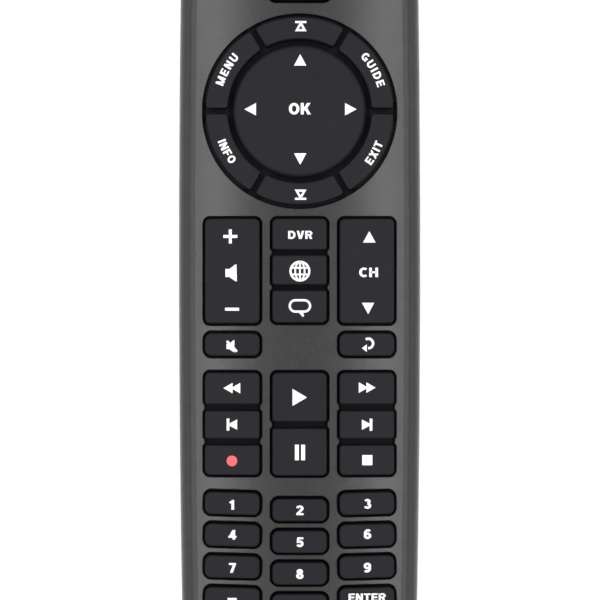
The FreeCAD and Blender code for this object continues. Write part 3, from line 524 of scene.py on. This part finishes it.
def ring_word(text, radius, middle_angle, length, height, upright):
    """Letters one by one along a circle; upright 1 puts their feet towards its centre, -1 their heads."""
    widths = [letters[letter][1] for letter in text]
    along = RING_BREADTH * height
    gap = (length - along * sum(widths)) / (len(text) - 1)
    place = -length / 2
    placed = []
    for letter, width in zip(text, widths):
        middle = place + along * width / 2
        angle = math.radians(middle_angle) - upright * middle / radius
        turn = angle - upright * math.pi / 2
        cos, sin = math.cos(turn), math.sin(turn)
        for outline in letters[letter][0]:
            shape = []
            for x, y in outline:
                a, b = (x - width / 2) * along, (y - 0.5) * height
                shape.append((radius * math.cos(angle) + a * cos - b * sin,
                              radius * math.sin(angle) + a * sin + b * cos))
            placed.append(shape)
        place += along * width + gap
    return placed


# Cursor pad: one cap with four arrow heads round OK, and six ring keys whose words
# follow the ring; page up and page down are a bar with an open triangle. Each AT is
# where the middle of a sign or of the ring stands, in pixels of the photograph.
PAD_AT = (AXIS_PIXEL, 111.6)
OK_AT = (299.9, 109.2)
PAGE_UP_AT = (300.8, 26.8)
PAGE_DOWN_AT = (300.6, 194.9)
PAGE_LINE = 2.1
RING_LETTER = 8.2
print_on("nav_ok", "nav_disc", moved(word("OK", width=22, height=11.4), *OK_AT))
for name, px, py, turn in (("up", 300.2, 60.3, 0), ("down", 300.2, 159.3, 180),
                           ("left", 250.3, 109.6, 90), ("right", 350.7, 109.6, -90)):
    print_on("nav_" + name, "nav_disc", moved([arrow_head(12.3, 11.5, turn)], px, py))

for text, radius, middle_angle, length, upright in (("MENU", 84.3, 150.1, 34.0, 1),
                                                    ("GUIDE", 85.2, 29.5, 36.8, 1),
                                                    ("INFO", 82.9, 208.9, 25.2, -1),
                                                    ("EXIT", 85.2, -29.0, 24.4, -1)):
    bent = ring_word(text, radius, middle_angle, length, RING_LETTER, upright)
    print_on(text.lower() + "_word", text.lower() + "_key", moved(bent, *PAD_AT))

open_head = stroke(arrow_head(8.0, 7.0, y=-0.5), PAGE_LINE, closed=True)
page_sign = open_head + [bar(11.2, PAGE_LINE, y=4.1)]
print_on("page_up_sign", "page_up_key", moved(page_sign, *PAGE_UP_AT))
print_on("page_down_sign", "page_down_key", moved(page_sign, *PAGE_DOWN_AT, turn=180))

# Rockers: plus, a loudspeaker and minus for the volume; two arrow heads and CH for
# the channel.
PLUS_AT = (230.4, 236.5)
SPEAKER_AT = (231.6, 273.2)
MINUS_AT = (232.2, 309.2)
CHANNEL_UP_AT = (369.2, 237.0)
CHANNEL_WORD_AT = (368.5, 272.4)
CHANNEL_DOWN_AT = (368.0, 308.4)
minus = [bar(14, 3.0)]
plus = minus + [bar(3.0, 14)]
speaker = [(-6.1, -3.7), (-2.2, -3.7), (3.9, -8.1), (5.3, -8.1),
           (5.0, 8.6), (3.7, 8.6), (-2.0, 4.2), (-6.1, 4.2)]
volume_signs = moved(plus, *PLUS_AT) + moved([speaker], *SPEAKER_AT) + moved(minus, *MINUS_AT)
print_on("volume_signs", "volume_rocker", volume_signs)
channel_signs = moved([arrow_head(12.6, 11.2)], *CHANNEL_UP_AT)
channel_signs += moved(word("CH", width=18.8, height=9.4), *CHANNEL_WORD_AT)
channel_signs += moved([arrow_head(12.2, 11.2, turn=180)], *CHANNEL_DOWN_AT)
print_on("channel_signs", "channel_rocker", channel_signs)

# Middle stack: the recorder's letters, a globe and a speech bubble; below the
# rockers, a crossed-out loudspeaker and a return arrow.
DVR_AT = (300.3, 235.0)
GLOBE_AT = (299.9, 271.2)
BUBBLE_AT = (299.9, 305.9)
MUTE_AT = (231.8, 346.2)
RETURN_AT = (368.4, 344.6)
OUTLINE = 2.2
THIN_LINE = 1.7
print_on("dvr_word", "dvr_key", moved(word("DVR", width=24.2, height=8.0), *DVR_AT))
globe = stroke(arc(9.3, 0, 348.75, 31), OUTLINE, closed=True) + [bar(THIN_LINE, 18.0)]
for side in (-1, 1):
    globe += stroke(arc(9.0, 90, 90 + side * 180, 16, squeeze=0.52), THIN_LINE)
for height in (3.3, -3.3):
    globe.append(bar(17.0, THIN_LINE, y=height))
print_on("globe_sign", "globe_key", moved(globe, *GLOBE_AT))
bubble = arc(5.65, 90, 270, 12, x=-4.5) + arc(5.65, -90, 90, 12, x=4.5)
tail = [(-2.2, -5.4), (2.8, -5.4), (4.2, -10.0), (2.8, -11.0)]
print_on("bubble_sign", "bubble_key", moved(stroke(bubble, OUTLINE, closed=True) + [tail], *BUBBLE_AT))
horn = [(-5.2, -2.7), (-2.4, -2.9), (2.6, -6.2), (2.7, 6.2), (1.3, 5.6), (-2.2, 2.6), (-5.2, 2.4)]
cross = stroke([(-4.9, 5.2), (5.2, -5.2)], 2.3)
print_on("mute_sign", "mute_key", moved([horn] + cross, *MUTE_AT))
hook = stroke(arc(4.75, 122, -92, 20, x=-0.2, y=1.2), 2.4)
return_head = arrow_head(7.4, 5.0, turn=90, x=-4.2, y=-3.5)
print_on("return_sign", "return_key", moved(hook + [return_head], *RETURN_AT))

# Transport keys: the usual signs of tape and disc machines, with a red dot for
# recording.
REWIND_AT = (231.9, 388.0)
FAST_FORWARD_AT = (367.1, 387.5)
SKIP_BACK_AT = (231.9, 424.4)
SKIP_FORWARD_AT = (367.1, 424.5)
RECORD_AT = (232.0, 460.7)
STOP_AT = (367.2, 459.9)
PLAY_AT = (299.7, 397.2)
PAUSE_AT = (300.0, 452.1)
twin_heads = [arrow_head(10.5, 9.2, -90, x) for x in (-3.8, 3.8)]
skip_sign = [arrow_head(10.2, 9.8, -90, -0.4), bar(2.7, 12.0, 3.8)]
pause_sign = [bar(3.9, 15.5, x) for x in (-3.1, 3.1)]
print_on("rewind_sign", "rewind_key", moved(twin_heads, *REWIND_AT, turn=180))
print_on("fast_forward_sign", "fast_forward_key", moved(twin_heads, *FAST_FORWARD_AT))
print_on("skip_back_sign", "skip_back_key", moved(skip_sign, *SKIP_BACK_AT, turn=180))
print_on("skip_forward_sign", "skip_forward_key", moved(skip_sign, *SKIP_FORWARD_AT))
print_on("record_dot", "record_key", moved([arc(5.3, 0, 350, 35)], *RECORD_AT), red_ink)
print_on("stop_sign", "stop_key", moved([bar(10.1, 10.1)], *STOP_AT))
print_on("play_sign", "play_key", moved([arrow_head(17.0, 14.3, -90)], *PLAY_AT))
print_on("pause_sign", "pause_key", moved(pause_sign, *PAUSE_AT))

# Digit pad: twelve caps in three columns, the middle one a little lower, printed with
# numbers, a dash for sub-channels and ENTER.
DASH_AT = (232.2, 598.6)
ZERO_AT = (299.6, 606.0)
ENTER_AT = (367.0, 597.0)
DIGIT = 9.6
for digit, px, py in (("1", 231.9, 504.5), ("2", 299.8, 509.8), ("3", 367.4, 503.6),
                      ("4", 232.5, 534.4), ("5", 299.8, 541.6), ("6", 367.4, 533.8),
                      ("7", 232.5, 567.5), ("8", 299.8, 573.4), ("9", 367.3, 567.2)):
    print_on("digit_" + digit, "key_" + digit, moved(word(digit, OWN_WIDTH, DIGIT), px, py))
print_on("digit_dash", "key_dash", moved([bar(9.0, 2.2)], *DASH_AT))
print_on("digit_0", "key_0", moved(word("0", OWN_WIDTH, DIGIT), *ZERO_AT))
print_on("enter_word", "key_enter", moved(word("ENTER", width=37.0, height=8.0), *ENTER_AT))


# Head keys, at the photograph's top edge and above it: four caps printed with a power
# sign, the two sources and a house for the start page.
HEAD_LETTER = 8.4


def middle_of(carrier):
    low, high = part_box(carrier)
    return (low.x + high.x) / 2, (low.y + high.y) / 2


power_sign = stroke(arc(7.2, 125, 415, 26), 2.4) + [bar(2.4, 8.4, y=5.6)]
print_on("power_sign", "power_key", centred(power_sign, *middle_of("power_key")))
print_on("tv_word", "tv_key", centred(word("TV", OWN_WIDTH, HEAD_LETTER), *middle_of("tv_key")))
print_on("aux_word", "aux_key", centred(word("AUX", OWN_WIDTH, HEAD_LETTER), *middle_of("aux_key")))
house = [[(-8.6, 0.4), (0.0, 8.0), (8.6, 0.4), (6.6, 0.4), (0.0, 6.0), (-6.6, 0.4)],
         [(-5.6, -7.0), (-1.6, -7.0), (-1.6, -1.6), (1.6, -1.6), (1.6, -7.0), (5.6, -7.0), (5.6, 0.0),
          (0.0, 4.8), (-5.6, 0.0)]]
print_on("start_sign", "shortcut_key", centred(house, *middle_of("shortcut_key")))

# Indicator and infrared window: a red-tinted light pipe with a diode under it, and a
# lens so dark that only infrared passes, with two behind it. All three are clear epoxy.
tinted = mould_plastic("tinted_window", screen(10, 6, 8), screen(16, 9, 11), grain=0.0006, cloud=0.006,
                       roughness=0.10, relief=0.000001, shine=0.15)
finish_in(tinted, "ir_window")
pipe_red = mould_plastic("pipe_red", screen(120, 30, 30), screen(134, 36, 34), grain=0.0006, cloud=0.004,
                         roughness=0.16, relief=0.000001)
finish_in(pipe_red, "light_pipe")
clear_epoxy = mould_plastic("clear_epoxy", screen(160, 168, 182), screen(182, 190, 202), grain=0.0008,
                            cloud=0.003, roughness=0.08, relief=0.000001)
finish_in(clear_epoxy, "ir_leds", "status_led")

# Inside: a moulded silicone sheet that lies on the green board, the board's chip and
# ceramic resonator, and the cursor pad's plate and plunger in unpainted nylon.
silicone = mould_plastic("silicone", screen(14, 14, 15), screen(20, 20, 21), grain=0.0006, cloud=0.006,
                         roughness=0.62, relief=0.00001, shine=0.2)
finish_in(silicone, "keypad_mat")
solder_mask = mould_plastic("solder_mask", screen(22, 84, 48), screen(34, 108, 62), grain=0.0012,
                            cloud=0.005, roughness=0.30, relief=0.00001)
finish_in(solder_mask, "circuit_board")
chip_epoxy = mould_plastic("chip_epoxy", screen(26, 26, 27), screen(38, 38, 39), grain=0.0003, cloud=0.002,
                           roughness=0.60, relief=0.00002)
finish_in(chip_epoxy, "main_chip")
dipped_ceramic = mould_plastic("dipped_ceramic", screen(196, 116, 34), screen(214, 134, 48), grain=0.0008,
                               cloud=0.002, roughness=0.25, relief=0.00001)
finish_in(dipped_ceramic, "resonator")
plain_nylon = mould_plastic("plain_nylon", screen(202, 200, 190), screen(216, 214, 204), grain=0.0005,
                            cloud=0.003, roughness=0.50, relief=0.00001)
finish_in(plain_nylon, "nav_plunger", "nav_rocker_plate")


# Metal parts: nickel-plated contact strips, zinc-plated screws and the capacitor's
# aluminium can, all with the fine lines of rolling or turning.
LINE_SQUEEZE = 0.05
LINE_SHADE = 0.82


def plated_metal(name, colour, roughness, line_size):
    metal, tree, shader = new_material(name)
    shader.inputs["Metallic"].default_value = 1.0
    stretch = tree.nodes.new("ShaderNodeMapping")
    stretch.inputs["Scale"].default_value = (1.0, LINE_SQUEEZE, 1.0)
    tree.links.new(tree.nodes.new("ShaderNodeTexCoord").outputs["Object"], stretch.inputs["Vector"])
    lines = noise(tree, stretch.outputs["Vector"], line_size, detail=4.0)
    dull = tuple(LINE_SHADE * part for part in colour[:3]) + (1.0,)
    tree.links.new(ramp(tree, lines, ((0.0, dull), (1.0, colour))), shader.inputs["Base Color"])
    vary_gloss(tree, lines, low=roughness - 0.06, high=roughness + 0.08)
    return metal


nickel = plated_metal("nickel", screen(206, 203, 196), roughness=0.28, line_size=0.0003)
finish_in(nickel, "contact_positive", "contact_negative", "contact_bridge")
zinc = plated_metal("black_zinc", screen(70, 70, 72), roughness=0.34, line_size=0.0002)
finish_in(zinc, "housing_screws")
can_metal = plated_metal("can_metal", screen(190, 192, 196), roughness=0.30, line_size=0.0004)
finish_in(can_metal, "capacitor")


# The two cells: steel cans in a printed sleeve, dark and blue-green with a silver
# band between. The bare ends are bright.
CELL_LENGTH = 0.0505
SLEEVE_START = 0.035
SLEEVE_END = 0.955
SCUFF = 1 / 700
BARE_STEEL = screen(190, 190, 186)


def cell_sleeve(name, positive_side, middle_y):
    sleeve, tree, shader = new_material(name)
    place = tree.nodes.new("ShaderNodeTexCoord").outputs["Object"]
    slope = positive_side / CELL_LENGTH
    along = maths(tree, "MULTIPLY_ADD", parts_of(tree, place)["Y"], slope, 0.5 - slope * middle_y)
    bands = ((0.0, BARE_STEEL), (SLEEVE_START, screen(38, 44, 54)), (0.70, screen(196, 198, 200)),
             (0.74, screen(44, 74, 92)), (SLEEVE_END, BARE_STEEL))
    bare_ends = ((0.0, WHITE), (SLEEVE_START, (0.0, 0.0, 0.0, 1.0)), (SLEEVE_END, WHITE))
    tree.links.new(ramp(tree, along, bands, sharp=True), shader.inputs["Base Color"])
    tree.links.new(ramp(tree, along, bare_ends, sharp=True), shader.inputs["Metallic"])
    vary_gloss(tree, noise(tree, place, SCUFF, detail=4.0), low=0.22, high=0.40)
    return sleeve


for name, side in (("battery_left", 1), ("battery_right", -1)):
    low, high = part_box(name)
    finish_in(cell_sleeve(name + "_sleeve", side, (low.y + high.y) / 2), name)
